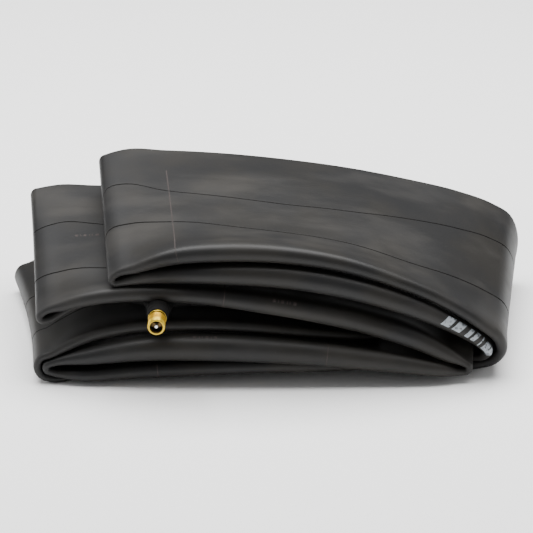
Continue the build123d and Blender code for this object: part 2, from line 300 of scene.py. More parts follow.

# %% [markdown]
# ## Brass, steel and the seals
#
# The stem and the core are turned from brass.  Turning leaves fine rings across the axis, and
# fingers and air leave a slightly darker, redder tarnish in patches.  The stem is bright where
# it is handled.  The core, deep in the bore, is painted dark brown: painted shade.  The pin and
# the spring are drawn steel wire.  One function makes them all from a bright colour, a dull colour
# and a roughness.
# The barrel's gasket is a smooth red sealing plastic, and the cup's is black rubber.

# %% Metals
def turned_metal(name, bright, dull, rough):
    """Turned or drawn metal, with fine rings and scratches, and tarnish in patches."""
    finish = Finish(name)
    place = finish.place()
    rings = finish.noise(finish.place((0.05, 1, 0.05)), 9000, 1)
    tarnish = finish.step(finish.noise(place, 420, 4, 0.6), 0.40, 0.70)
    scratch = finish.noise(finish.place((1, 0.08, 1)), 5000, 2)
    finish.fill(finish.shader, {
        "Base Color": finish.blend(tarnish * 0.7, bright, dull),
        "Metallic": 1.0,
        "Roughness": rough + tarnish * 0.14 + scratch * 0.08,
    })
    finish.relief(rings * 0.7 + scratch * 0.3, 0.000012, 0.6)
    return finish.material


METALS = {                # bright, dull, roughness
    "stem_brass": ((0.66, 0.46, 0.050, 1), (0.42, 0.26, 0.020, 1), 0.27),
    # painted shade: the core's brass is painted dark brown for the shade deep in the bore
    "core_brass": ((0.13, 0.085, 0.035, 1), (0.05, 0.032, 0.015, 1), 0.30),
    "pin_steel": ((0.93, 0.93, 0.92, 1), (0.70, 0.69, 0.66, 1), 0.22),
    "spring_steel": ((0.55, 0.55, 0.56, 1), (0.30, 0.30, 0.31, 1), 0.26),
    # painted shade: the bore and the groove behind the thread are painted dark brown
    "painted_shade_brass": ((0.10, 0.062, 0.022, 1), (0.04, 0.024, 0.010, 1), 0.42),
    "thread_brass": ((0.47, 0.27, 0.022, 1), (0.25, 0.13, 0.010, 1), 0.36),
}
metals = {name: turned_metal(name, *values) for name, values in METALS.items()}


def seal(name, colour, shade):
    """A smooth, slightly mottled sealing material."""
    finish = Finish(name)
    mottle = finish.noise(finish.place(), 900, 3)
    finish.fill(finish.shader, {
        "Base Color": finish.blend(mottle, colour, shade),
        "Roughness": 0.38 + mottle * 0.16,
    })
    finish.relief(finish.noise(finish.place(), 4000, 2), 0.00002, 0.5)
    return finish.material


seal_plastic = seal("seal_plastic", (0.50, 0.045, 0.03, 1), (0.36, 0.03, 0.02, 1))
seal_rubber = seal("seal_rubber", (0.02, 0.02, 0.02, 1), (0.035, 0.034, 0.032, 1))
print("metals:", len(metals), "seals:", seal_plastic.name, seal_rubber.name)

# %% [markdown]
# ## The line of the folds
#
# A flat tube has two long edges.  The edge that carries the valve is the inner side of the ring,
# so it is shorter, and the other edge fans out at every bend.  Each edge is a closed line that
# goes four times to the right and four times to the left.  The lists hold the few places that
# shape each run: across, height, how far the edge stands towards the front, half the thickness
# of its roll, and how far that roll droops.  Tight bends are half circles, made by `bend`.

# %% Places along the two edges
PINCH = 1.75              # half the thickness of the rubber where it is pressed together


def bend(across, height, radius, angle, turn, forward=0.0, full=PINCH, droop=0.0):
    """Five places round a half circle: its centre, its radius, the way in, +1 for clockwise."""
    places = []
    for step in range(5):
        swing = math.radians(angle) + turn * math.pi * (0.5 - step / 4)
        places.append((across + radius * math.cos(swing), height + radius * math.sin(swing),
                       forward, full, droop))
    return places


FRONT_EDGE = [
    *bend(-66.4, 50.2, 2.1, 212, 1),
    (-58, 55.8, 0, 2.6, 0), (-42, 61.2, 0, 3.8, 0), (-18, 63.4, 0, 4.3, 0), (8, 62.3, 0, 4.1, 0),
    (34, 57.7, 0, 3.7, 0), (58, 49.2, 0, 3.2, 0), (80, 38.8, 0, 3.0, 0), (95.5, 28.4, 0, 2.9, 0),
    (104.6, 19.6, -1, 2.7, 0), (106.2, 12.6, -3, 2.4, 0), (103.0, 6.4, -5, 2.2, 0),
    (95, 2.7, -7, 2.0, 0), (80, 2.1, -8, 1.9, 0), (58, 2.3, -8, 2.0, 0), (30, 3.4, -8, 2.0, 0),
    (0, 4.2, -8, 2.0, 0), (-30, 3.4, -7, 2.0, 0), (-60, 2.3, -4, 1.9, 0), (-82, 1.9, -1, 1.9, 0),
    *bend(-97.0, 8.0, 6.2, 180, 1, 4.0),
    (-92, 16.8, 3, 2.3, 0), (-80, 21.8, 1, 2.8, 0), (-62, 25.8, 0, 3.0, 0),
    (-38, 27.2, 0, 3.0, 0), (-12, 25.9, -1, 2.9, 0), (14, 22.5, -2, 2.6, 0), (34, 19.0, -5, 2.2, 0),
    *bend(49.0, 18.0, 2.1, -10, -1, -10),
    (34, 23.4, -12, 2.0, 0), (14, 27.8, -12, 2.0, 0),
    (-10, 31.8, -11, 2.0, 0), (-34, 35.0, -8, 2.1, 0),
    (-56, 36.6, -8, 2.1, 0), (-76, 36.0, -10, 2.0, 0), (-90, 32.8, -3, 2.0, 0),
    *bend(-99.2, 31.3, 2.1, 206, 1),
    (-90, 37.4, 0, 2.9, 0), (-76, 41.6, 1, 3.4, 0), (-56, 43.5, 1, 3.6, 0), (-30, 42.6, 1, 4.0, 0),
    (-4, 39.2, 1, 4.7, 0), (22, 34.4, 1, 4.9, 0), (46, 28.4, 1, 5.1, 0), (68, 21.4, 2, 4.9, 0.5),
    (81.5, 16.2, 3, 3.5, 2.5),
    *bend(89.0, 12.4, 2.1, -14, 1, 4, PINCH, 5.0),
    (78, 10.8, 5, 3.3, 3.6), (64, 11.4, 5, 4.3, 1.8),
    (44, 13.0, 5, 5.0, 0.5), (22, 15.2, 5, 5.6, 0),
    (0, 17.2, 5, 6.0, 0), (-28, 18.5, 5, 6.2, 0), (-56, 17.7, 5, 5.6, 0), (-80, 13.6, 5, 3.8, 0),
    *bend(-97.0, 8.0, 2.1, 180, -1, 5.0),
    (-84, 6.0, 6, 2.6, 1.2), (-60, 7.4, 5, 3.4, 1.2),
    (-32, 8.6, 5, 3.5, 0.7), (0, 8.8, 4, 3.2, 0.4),
    (30, 7.8, 2, 2.6, 0.4), (58, 6.4, -3, 2.1, 0), (80, 5.9, -8, 1.8, 0), (92, 6.2, -8, 1.8, 0),
    (98.0, 8.8, -4, 2.0, 0), (99.7, 13.4, -1, 2.3, 0),
    (96.6, 18.0, 0, 2.8, 0), (89, 24.2, 1, 3.3, 0),
    (76, 31.9, 1, 4.3, 0), (58, 39.8, 1, 5.0, 0), (34, 47.3, 1, 5.4, 0), (8, 52.0, 1, 5.4, 0),
    (-18, 53.4, 1, 4.9, 0), (-42, 52.2, 0, 3.7, 0), (-57, 50.4, 0, 2.6, 0),
]
BACK_EDGE = [
    *bend(-76.2, 65.8, 2.1, 182, 1, 3.2),
    (-68, 69.0, 0.6, 2.0, 0), (-48, 68.2, 0, 2.1, 0), (-20, 66.6, 0, 2.1, 0), (10, 63.4, 0, 2.1, 0),
    (40, 58.9, 0, 2.1, 0), (67, 53.2, 0, 2.1, 0), (93, 46.4, 0, 2.1, 0), (108.6, 40.2, 0, 2.1, 0),
    (116.6, 35.0, 0.5, 2.1, 0), (120.2, 26.0, 1, 2.1, 0), (116.8, 8.6, 1, 2.0, 0),
    (108.5, 3.0, 0, 2.0, 0), (94, 2.1, 0, 2.0, 0), (70, 2.3, 0, 2.0, 0), (36, 3.8, 0, 2.0, 0),
    (0, 5.0, 0, 2.0, 0), (-36, 4.6, 0, 2.0, 0), (-72, 2.5, 0, 2.0, 0), (-98, 2.0, 2, 2.0, 0),
    *bend(-114.6, 8.0, 6.2, 180, 1, 11.0),
    (-106, 17.2, 7, 1.9, 0), (-93, 23.2, 1, 2.0, 0), (-70, 27.6, 0, 2.0, 0),
    (-42, 29.4, 0, 2.0, 0), (-12, 28.6, 0, 2.0, 0), (18, 25.2, 0, 2.0, 0), (40, 21.4, 0, 1.9, 0),
    *bend(54.0, 20.0, 2.1, -10, -1),
    (40, 26.4, 0, 1.9, 0), (18, 32.6, 0, 2.0, 0), (-10, 38.0, 0, 2.0, 0), (-38, 41.6, 0, 2.0, 0),
    (-66, 43.6, 0, 2.0, 0), (-88, 44.2, 0, 1.9, 0), (-101, 45.0, 1.5, 1.9, 0),
    *bend(-109.8, 47.8, 2.1, 172, 1, 2.5),
    (-100, 50.6, 0.5, 1.9, 0), (-84, 49.9, 0, 2.0, 0),
    (-60, 49.5, 0, 2.0, 0), (-32, 49.3, 0, 2.0, 0),
    (-4, 48.2, 0, 2.0, 0), (24, 43.6, 0, 2.0, 0), (50, 37.0, 0, 2.0, 0), (72, 29.2, 0, 1.9, 0),
    (88, 20.8, 0, 1.9, 0),
    *bend(97.4, 14.8, 2.1, -20, 1, 2.0),
    (86, 12.2, 0, 1.9, 0), (68, 13.2, 0, 1.9, 0), (46, 14.6, 0, 2.0, 0), (24, 17.0, 0, 2.0, 0),
    (2, 19.0, 0, 2.0, 0), (-28, 20.6, 0, 2.0, 0), (-58, 19.9, 0, 2.0, 0), (-88, 14.0, 0, 1.9, 0),
    *bend(-114.6, 8.0, 2.1, 180, -1, 10.0),
    (-96, 6.2, 1, 1.9, 0), (-72, 7.6, 0, 1.9, 0), (-36, 10.8, 0, 2.0, 0), (0, 11.4, 0, 2.0, 0),
    (34, 9.5, 0, 2.0, 0), (64, 7.4, 0, 1.9, 0), (90, 6.6, 0, 1.9, 0), (104.5, 8.8, 1, 2.0, 0),
    (111.4, 13.2, 2, 2.0, 0), (113.6, 18.6, 2.5, 2.0, 0), (111.6, 23.6, 2.5, 2.0, 0),
    (103.5, 29.2, 1.5, 2.0, 0), (88, 36.8, 0, 2.0, 0), (64, 45.0, 0, 2.0, 0),
    (38, 51.4, 0, 2.0, 0), (8, 56.8, 0, 2.0, 0),
    (-20, 60.2, 0, 2.0, 0), (-44, 62.4, 1, 2.0, 0), (-63, 63.6, 3, 1.9, 0),
]
print("places on the front and back edges:", len(FRONT_EDGE), len(BACK_EDGE))

# %% [markdown]
# ## From places to smooth rows
#
# Both edges get the same number of rows, so that row 100 of one edge is the same slice of rubber
# as row 100 of the other.  Between places the line is a cubic whose slope at each place comes
# from its two neighbours, weighted by their distance, which never swings wide near a tight bend.

# %% Smooth rows
ROW_STEP = 2.4            # distance between rows along the tube


def chord_lengths(places):
    """The distance from each place to the next, seen from the front."""
    return np.linalg.norm((np.roll(places, -1, 0) - places)[:, :2], axis=1)


def slopes(places):
    """Slope of the line at each place, from the chords on both sides."""
    chord = np.roll(places, -1, 0) - places
    length = chord_lengths(places)[:, None]
    before = np.roll(chord, 1, 0)
    before_length = np.roll(length, 1, 0)
    weighted = chord / length * before_length + before / before_length * length
    return weighted / (length + before_length)


def smooth_rows(front, back):
    """Evenly divided rows of both edges, with the same count between each pair of places."""
    lines = [np.array(front, float), np.array(back, float)]
    result = [[], []]
    lengths = [chord_lengths(line) for line in lines]
    for index in range(len(front)):
        following = (index + 1) % len(front)
        span = max(lengths[0][index], lengths[1][index])
        count = max(3, round(span / ROW_STEP))
        u = (np.arange(count) / count)[:, None]
        for line, length, rows in zip(lines, lengths, result):
            slope = slopes(line)
            start, end = line[index], line[following]
            rows.append((2 * u**3 - 3 * u**2 + 1) * start + (3 * u**2 - 2 * u**3) * end
                        + (u**3 - 2 * u**2 + u) * length[index] * slope[index]
                        + (u**3 - u**2) * length[index] * slope[following])
    return np.vstack(result[0]), np.vstack(result[1])


front_rows, back_rows = smooth_rows(FRONT_EDGE, BACK_EDGE)
row_count = len(front_rows)
row_numbers = np.arange(row_count)
inner_length = chord_lengths(front_rows)
row_place = np.concatenate([[0], np.cumsum(inner_length)[:-1]])
print("rows:", row_count, "inner edge:", round(inner_length.sum()), "mm round")

# %% [markdown]
# ## Naming the layers
#
# Seen from the front, eight layers lie on each other.  Going round the loop from the top left
# corner they are the top layer, the bottom one, and then in and out through the middle.  A small
# helper finds the row that lies in a given layer at a given place across, so that every detail
# can be put down by layer and place.

# %% Layers
LAYERS = ["top", "bottom", "fifth", "fourth", "third", "sixth", "seventh", "second"]


def turning_rows(rows):
    """Rows where the line turns back between right and left, starting with the top left bend."""
    going = np.sign(np.roll(rows[:, 0], -1) - rows[:, 0])
    return [i for i in range(len(rows)) if going[i] != going[i - 1]]


turns = turning_rows(front_rows) + [row_count]


def row_at(layer, across):
    """The row, as a fractional number, where a layer passes a place across."""
    index = LAYERS.index(layer)
    rows = np.arange(turns[index], min(turns[index + 1] + 1, row_count))
    order = np.argsort(front_rows[rows, 0])
    return float(np.interp(across, front_rows[rows, 0][order], rows[order]))


print("turning rows:", turns)

# %% [markdown]
# ## The flat tube's section
#
# Pressed flat, the tube is two walls lying together, with a round roll of rubber at each edge,
# where the fold springs open.  Going round the section: the outer wall from front to back, the
# roll at the back, the inner wall back to the front, and the front roll.  The joints of the
# mould leave two fine steep grooves on each wall, and close columns hold their shape.  A column
# is a kind, a place on the wall or an angle on the roll, the wall's side, and a groove's depth.

# %% Columns round the section
flat_width = BACK_Y - FRONT_Y
MOULD_LINES = (23.0, 50.5)     # distance from the front edge
LINE_SHAPE = [            # place beside the middle of a mould line, and height
    (-1.4, 0), (-0.44, 0), (-0.34, 0), (-0.22, -0.34),
    (0.22, -0.34), (0.34, 0), (0.44, 0), (1.4, 0),
]
WALL_PLACES = [
    0, 1.0, 2.2, 3.6, 5.2, 7.0, 9.0, 11.4, 14.2, 17.4, 20.2, 26, 30, 34.5, 39, 44, 47.5, 54, 58,
    62.5, 67, 71.5, 76, 80.5, 84.5, 88, 90.5, 92.5, 94, flat_width,
]
ROLL_STEPS = 18

wall_columns = [(place, 0.0) for place in WALL_PLACES]
wall_columns += [(line + beside, height) for line in MOULD_LINES for beside, height in LINE_SHAPE]
wall_columns.sort()
roll_angles = [math.pi * (0.5 - step / ROLL_STEPS) for step in range(1, ROLL_STEPS)]
section = [("wall", place, 1, line) for place, line in wall_columns]
section += [("back", angle, 1, 0) for angle in roll_angles]
section += [("wall", place, -1, line) for place, line in reversed(wall_columns)]
section += [("front", -angle, 1, 0) for angle in roll_angles]
column_count = len(section)
print("columns round the section:", column_count)

# %% [markdown]
# ## The middle sheet
#
# Every point of the rubber is the middle sheet plus a step along its normal.  The middle sheet
# is ruled between the two edges.  Towards the back it flares outward at the lower left bends,
# and near the front it sinks where the edge droops.

# %% Middle sheet
FLARE = 0.5               # how strongly the lower left bends flare
DROOP_REACH = 7.0         # how far a droop reaches back from the front edge


def ramp(values, zero, one):
    """0 at `zero`, 1 at `one`, even between them and level beyond."""
    return np.clip((values - zero) / (one - zero), 0, 1)


def bell(distance, reach):
    """1 at the edge, falling smoothly to nothing over about twice `reach`."""
    return np.exp(-((np.maximum(distance, 0) / reach) ** 2))


lower_left = ramp(front_rows[:, 0], -60, -100) * ramp(front_rows[:, 1], 34, 14)


def middle_sheet(width):
    """The middle of the rubber at a distance from the front edge, for every row."""
    share = width / flat_width
    front, back = front_rows, back_rows
    spread = share + lower_left * FLARE * (share * share - share)
    x = front[:, 0] + (back[:, 0] - front[:, 0]) * spread
    z = front[:, 1] + (back[:, 1] - front[:, 1]) * share
    z = z - front[:, 4] * bell(width, DROOP_REACH)
    y = FRONT_Y - front[:, 2] * (1 - share) + share * (flat_width - back[:, 2])
    return np.stack([x, y, z], axis=1)


def unit(vectors):
    """The same directions with a length of one."""
    return vectors / np.linalg.norm(vectors, axis=1)[:, None]


def sheet_normals(width):
    """Unit normals of the middle sheet, on the outer side of the ring of folds."""
    here = middle_sheet(width)
    along = np.roll(here, -1, 0) - np.roll(here, 1, 0)
    return unit(np.cross(along, middle_sheet(width + 1.0) - middle_sheet(width - 1.0)))


print("rows of the middle sheet:", len(middle_sheet(0)))

# %% [markdown]
# ## Thickness
#
# The roll at each edge fades into the pressed web over about a centimetre.  The top layer has
# nothing on it, so its outer wall stands a little proud in slow, slanting waves, which is what
# breaks up its reflections.  So does the end of the third layer, which sticks out at the left.

# %% Thickness
WEB = 1.75                # half the thickness between the rolls
FRONT_ROLL_REACH, BACK_ROLL_REACH = 8.0, 6.0
WAVES = [                 # height, millimetres to a radian along and across the tube, and phase
    (0.50, 31, 17, 0.6), (0.28, 15, -13, 2.1), (0.07, 7.3, 9, 1.2),
]
top_free = ramp(row_numbers, turns[0] + 8, turns[0] + 33)
top_free *= ramp(row_numbers, turns[1] - 6, turns[1] - 31)
third_free = ramp(row_numbers, turns[4] + 3, turns[4] + 11) * ramp(front_rows[:, 0], -70, -80)
in_third = (row_numbers > turns[4]) & (row_numbers < turns[5])
free = np.where(row_numbers < turns[1], top_free, 0.0) + np.where(in_third, third_free, 0.0)


def half_thickness(width):
    """Half the thickness across the flat tube: a roll at each edge, and the web between."""
    near = bell(width, FRONT_ROLL_REACH)
    far = bell(flat_width - width, BACK_ROLL_REACH)
    return WEB + (front_rows[:, 3] - WEB) * near + (back_rows[:, 3] - WEB) * far


def waves(width):
    """Slow slanting waves on the walls that lie free."""
    swell = sum(height * np.sin(row_place / along + width / across + start)
                for height, along, across, start in WAVES)
    edge = np.sqrt(np.sin(np.pi * np.clip(width / flat_width, 0, 1)).clip(0))
    return swell * free * edge


print("rows that lie free:", int(np.count_nonzero(free)))

# %% [markdown]
# ## Wandering mould lines
#
# The tube was not pressed flat exactly along its seams, so on the outer wall both mould lines
# wander, most of all near the bends.  The list says how far each line has moved at a few places
# of a layer, and a smooth window blends one layer into the next.

# %% Mould lines
LINE_WANDER = {           # layer: (across, shift of the lower line, shift of the upper line)
    "top": [(-70, 10, 16.5), (-58, 10.5, 17), (-46, 5.3, 7), (-31, 2.9, 2.5), (-10, -2, -1.5),
            (10, -4.5, -3.2), (36, -5.3, -1.8), (64, -6.4, 6.4), (94, -1, 15.5), (106, 2, 17.5)],
    "third": [(-100, 0.6, 10.5), (-86, 0, 14.3), (-70, -3, 8.2), (-40, -3, 0)],
    "fifth": [(-112, 1, 10), (-90, 1, 8), (-60, 0, 0)],
    "bottom": [(-100, 1, 10), (-60, 0, 0), (50, 0, 0), (103, 2, 17.5)],
    "fourth": [(-100, 0.6, 10.5), (-60, 0, 0)],
    "sixth": [(-100, 1, 10), (-60, 0, 0)],
    "seventh": [(-100, 1, 10), (-60, 0, 0)],
    "second": [(-66, 10, 16.5), (-35, 0, 0)],
}
BLEND_ROWS = 7
window = np.hanning(2 * BLEND_ROWS + 1)
window = window / window.sum()


def wander_of(line):
    """How far a mould line has moved at every row: 0 for the lower line, 1 for the upper."""
    shift = np.zeros(row_count)
    for layer, places in LINE_WANDER.items():
        index = LAYERS.index(layer)
        rows = slice(turns[index], turns[index + 1])
        columns = list(zip(*places))
        shift[rows] = np.interp(front_rows[rows, 0], columns[0], columns[1 + line])
    return np.convolve(np.r_[shift[-BLEND_ROWS:], shift, shift[:BLEND_ROWS]], window, "valid")


line_wander = np.array([wander_of(0), wander_of(1)])
print("largest shift of the lines in mm:", [round(float(v), 1) for v in line_wander.max(axis=1)])

# %% [markdown]
# ## The surface
#
# Each column is now a line of points, one to a row: on a wall it stands off the middle sheet by
# half the thickness, and on a roll it goes round the edge.  The outer wall's columns move with
# the mould lines, and less the further they are from them.  What would dip under the table is
# lifted onto it.

# %% Surface
ROLL_DEPTH = 0.95         # the rolls are a little flatter than round
TABLE_CLEARANCE = 0.02
SHARE_PLACES = (0, *MOULD_LINES, flat_width)
LINE_SHARES = ((0, 1, 0, 0), (0, 0, 1, 0))     # each line's pull on the wall, at those places


def wall_points(place, side, line):
    """One column of a wall; on the outer one it wanders with the mould lines."""
    width = np.full(row_count, float(place))
    rise = 0.0
    if side > 0:
        shares = np.array([np.interp(place, SHARE_PLACES, share) for share in LINE_SHARES])
        width = width + shares @ line_wander
        rise = waves(width)
    height = half_thickness(width) + line + rise
    return middle_sheet(width) + sheet_normals(width) * (side * height)[:, None]


def roll_points(edge, outward, angle):
    """One column of the roll at an edge, at an angle round it."""
    full = half_thickness(edge)
    across = unit(middle_sheet(edge + 1.0) - middle_sheet(edge - 1.0))
    reach = outward * (full * math.cos(angle) * ROLL_DEPTH)
    rise = full * math.sin(angle)
    return middle_sheet(edge) + sheet_normals(edge) * rise[:, None] + across * reach[:, None]


def section_points(kind, value, side, line):
    """One column of the tube's surface."""
    if kind == "wall":
        return wall_points(value, side, line)
    return roll_points(0.0, -1, value) if kind == "front" else roll_points(flat_width, 1, value)


surface = np.stack([section_points(*column) for column in section], axis=1)
surface[:, :, 2] = np.maximum(surface[:, :, 2], TABLE_CLEARANCE)
print("surface points:", surface.shape[0] * surface.shape[1])

# %% [markdown]
# ## The tube
#
# The grid of points closes on itself both ways, like a ring.  It becomes one mesh, with a
# blacker colour in the mould grooves: no talc there, and painted shade where no light gets in.

# %% Tube
def make_mesh(name, points, faces, materials):
    """A smooth mesh object in metres from points in millimetres."""
    mesh = bpy.data.meshes.new(name)
    mesh.from_pydata([tuple(p) for p in np.asarray(points) * MM], [], faces)
    mesh.update()
    mesh.polygons.foreach_set("use_smooth", [True] * len(mesh.polygons))
    for material in materials:
        mesh.materials.append(material)
    made = bpy.data.objects.new(name, mesh)
    bpy.context.collection.objects.link(made)
    return made


def grid_faces(rows, columns, close_rows=False, close_columns=False, start=0):
    """Quads of a grid of points, closed round in either direction where wanted."""
    faces = []
    for i in range(rows if close_rows else rows - 1):
        a, b = start + i * columns, start + ((i + 1) % rows) * columns
        for j in range(columns if close_columns else columns - 1):
            k = (j + 1) % columns
            faces.append((a + j, b + j, b + k, a + k))
    return faces


tube_faces = grid_faces(row_count, column_count, True, True)
tube = make_mesh("tube_shell", surface.reshape(-1, 3), tube_faces, [tube_rubber, groove_rubber_painted_shade])
depths = [column[3] for column in section]
# painted shade: the faces in and beside the grooves get the blacker groove rubber
in_groove = [int(min(pair) < 0) for pair in zip(depths, depths[1:] + depths[:1])]
tube.data.polygons.foreach_set("material_index", in_groove * row_count)
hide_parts("tube_body")
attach(tube, "tube")
print("tube faces:", len(tube.data.polygons))

# %% [markdown]
# ## Putting details on the rubber
#
# The cross lines, the raised marks, the print and the valve's patch all follow the rubber.
# `on_tube` gives a point of the surface from a row and the distance round the section from the
# crest of the front roll: plus goes over the outer wall, minus over the inner one.  `lay` makes
# a grid of such points whose rim dips into the rubber, so that a detail has no loose edge.

# %% Surface sampler
SIDE_STEP = 0.4           # how far to each side the surface's slope is measured
crest = column_count - len(roll_angles) + len(roll_angles) // 2
around = np.roll(surface, -crest, axis=1)
around = np.concatenate([around, around[:, :1]], axis=1)
around_length = np.linalg.norm(np.diff(around, axis=1), axis=2)
around_length = np.concatenate([np.zeros((row_count, 1)), np.cumsum(around_length, axis=1)], axis=1)


def row_step(row):
    """The length of the tube from a row to the next."""
    return row_place[int(row) + 1] - row_place[int(row)]


def ring_point(row, reach):
    """A point of the surface on one whole row."""
    row = row % row_count
    spot = reach if reach >= 0 else around_length[row, -1] + reach
    return np.array([np.interp(spot, around_length[row], around[row, :, k]) for k in range(3)])


def on_tube(row, reach, lift):
    """A point of the tube's surface at a fractional row, raised by `lift`."""
    first = math.floor(row)
    share = row - first
    here, following = ring_point(first, reach), ring_point(first + 1, reach)
    sideways = ring_point(first, reach + SIDE_STEP) - ring_point(first, reach - SIDE_STEP)
    normal = np.cross(following - here, sideways)
    return here * (1 - share) + following * share + normal / np.linalg.norm(normal) * lift


def lay(points, faces, rows, reaches, lift, sunk, cells, slant=0.0):
    """Adds one patch between two rows and two distances; its rim is sunk into the rubber."""
    base = len(points)
    for i in range(cells[0] + 1):
        for j in range(cells[1] + 1):
            u, v = i / cells[0], j / cells[1]
            row = rows[0] + (rows[1] - rows[0]) * u + slant * v
            reach = reaches[0] + (reaches[1] - reaches[0]) * v
            rim = i in (0, cells[0]) or j in (0, cells[1])
            points.append(on_tube(row, reach, -sunk if rim else lift))
    faces.extend(grid_faces(cells[0] + 1, cells[1] + 1, start=base))


print("round the section at row 0:", round(float(around_length[0, -1]), 1), "mm")

# %% [markdown]
# ## Cross lines and raised marks
#
# Single fine ribs run across the tube, left by the air channels of the mould: one each on the
# top, third, sixth and seventh layers.  Real tubes also carry small moulded lettering.  Here it
# is only a few rows of plain dashes and dots.

# %% Cross lines and marks
CROSS_LINES = [           # layer, across, from and to round the section, slant
    ("top", -39, -5, 84, -3.4), ("third", -19, -7, 14, 0),
    ("sixth", 27, -14, 7, 0), ("seventh", -49, -7, 14, 0),
]
HALF_RIB, RIB_HEIGHT = 0.42, 0.10     # half the width of a rib, and its height
MARK_WIDTH, MARK_HEIGHT = 2.0, 0.16
RIM_SUNK = 0.08
points, faces = [], []
for layer, across, low, high, slant in CROSS_LINES:
    row = row_at(layer, across)
    half = HALF_RIB / row_step(row)
    lay(points, faces, (row - half, row + half), (low, high), RIB_HEIGHT, RIM_SUNK, (2, 60),
        slant / row_step(row))
cross_lines = make_mesh("cross_lines", points, faces, [seam_rubber])

MARK_ROWS = [             # layer, across, distance from the crest of the roll, and side
    ("third", -84, 56, 1), ("third", 2, 3.5, 1), ("sixth", -22, 7.0, -1), ("seventh", 36, 3.0, 1),
]
MARK_PATTERN = [          # offset and length
    (0, 1.6), (2.4, 0.6), (3.8, 1.6), (6.4, 0.6), (7.6, 0.6), (9.2, 1.8),
]
points, faces = [], []
for layer, across, reach, side in MARK_ROWS:
    row = row_at(layer, across)
    for offset, length in MARK_PATTERN:
        start = row + offset / row_step(row)
        lay(points, faces, (start, start + length / row_step(row)),
            (side * reach, side * (reach + MARK_WIDTH)), MARK_HEIGHT, RIM_SUNK, (4, 4))
marks = make_mesh("raised_marks", points, faces, [seam_rubber])
for detail in (cross_lines, marks):
    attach(detail, "tube")
print("cross lines:", len(CROSS_LINES), "raised marks:", len(MARK_ROWS) * len(MARK_PATTERN))

# %% [markdown]
# ## The print
#
# The maker's print is silver ink on the roll of the second layer, just before it turns under at
# the right.  What it says is left out: here it is a row of plain bars, slanted and straight,
# which spell nothing.  The ink is a film, so it is laid a few hundredths of a millimetre above
# the rubber, and its finish wears through to black where the roll was rubbed.

# %% Ink
ink = Finish("silver_ink")
ink_place = ink.place()
ink_worn = ink.step(ink.noise(ink_place, 520, 5, 0.65), 0.50, 0.62)
ink_cloud = ink.noise(ink_place, 160, 3)
silver, rubbed = (0.34, 0.37, 0.40, 1), (0.03, 0.032, 0.035, 1)
ink.fill(ink.shader, {
    "Base Color": ink.blend(ink_worn * 0.8 + ink_cloud * 0.15, silver, rubbed),
    "Roughness": 0.42 + ink_cloud * 0.18,
    "Metallic": 0.15 - ink_worn * 0.1,
})
ink.relief(ink.noise(ink_place, 2400, 2), 0.00003, 0.5)

PRINT = [                 # offset, length, from and to round the roll, slant
    (0.0, 4.6, -5.4, 0.8, 2.0), (5.6, 4.6, -5.4, 0.8, 2.0), (12.2, 2.4, -5.2, 1.0, 1.6),
    (15.6, 2.4, -5.2, 1.0, 1.6), (19.2, 0.7, -5.4, 2.0, 0.0), (21.2, 7.5, -4.6, 1.8, 0.0),
]
PRINT_ACROSS = 79.5       # where the first bar begins on the second layer
INK_HEIGHT, INK_SUNK = 0.05, 0.04
points, faces = [], []
print_start = np.interp(row_at("second", PRINT_ACROSS), row_numbers, row_place)
for offset, length, low, high, slant in PRINT:
    start = np.interp(print_start - offset, row_place, row_numbers)
    end = np.interp(print_start - offset - length, row_place, row_numbers)
    lay(points, faces, (end, start), (low, high), INK_HEIGHT, INK_SUNK, (10, 8),
        slant / row_step(start))
print_mark = make_mesh("silver_print", points, faces, [ink.material])
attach(print_mark, "tube")
print("print pieces:", len(PRINT))

# %% [markdown]
# ## Turning round the stem's axis
#
# The sleeve and the stem of the valve are round about one axis, which comes from the CAD
# model's mount for the thread.  Both are turned from a closed outline, as on a lathe, so one
# function serves them.  Distances along the axis start at the tube's front edge.

# %% Turned pieces
stem_mount = next(m for m in frame["record"]["mounts"] if m["name"] == "valve_thread")
stem_way = np.array(stem_mount["axis"])
stem_base = np.array(stem_mount["pos_m"]) / MM
stem_base = stem_base + stem_way * ((FRONT_Y - stem_base[1]) / stem_way[1])
stem_right = np.array([1.0, 0.0, 0.0])
stem_up = np.cross(stem_right, stem_way)


def turned(name, outline, steps, materials, flatten=None, bands=None):
    """Turns a closed outline of (distance, radius) pairs round the stem's axis.

    A radius can be a function of the angle.  `flatten` gives the height of the outline beside
    its width, and `bands` the material of the surface that starts at each pair.
    """
    points = []
    for reach, radius in outline:
        squeeze = flatten(reach) if flatten else 1.0
        for step in range(steps):
            turn = 2 * math.pi * step / steps
            size = radius(turn) if callable(radius) else radius
            points.append(stem_base + stem_way * reach + stem_right * (size * math.cos(turn))
                          + stem_up * (size * math.sin(turn) * squeeze))
    made = make_mesh(name, points, grid_faces(len(outline), steps, True, True), materials)
    work = bmesh.new()
    work.from_mesh(made.data)
    bmesh.ops.recalc_face_normals(work, faces=work.faces)
    if bands:
        last = len(outline) - 1
        for face in work.faces:
            rings = {vert.index // steps for vert in face.verts}
            face.material_index = bands[last if rings == {0, last} else min(rings)]
    work.to_mesh(made.data)
    work.free()
    return made


print("stem axis:", [round(float(v), 3) for v in stem_way])

# %% [markdown]
# ## The patch and the sleeve of the valve
#
# The stem is moulded into an oval patch that is draped over the edge of the fourth layer, and a
# rubber sleeve comes up round the brass.  The patch is laid on the tube with a lift that fades
# out at its oval rim.  The sleeve is turned: a flared foot, two soft rings and a rolled end.

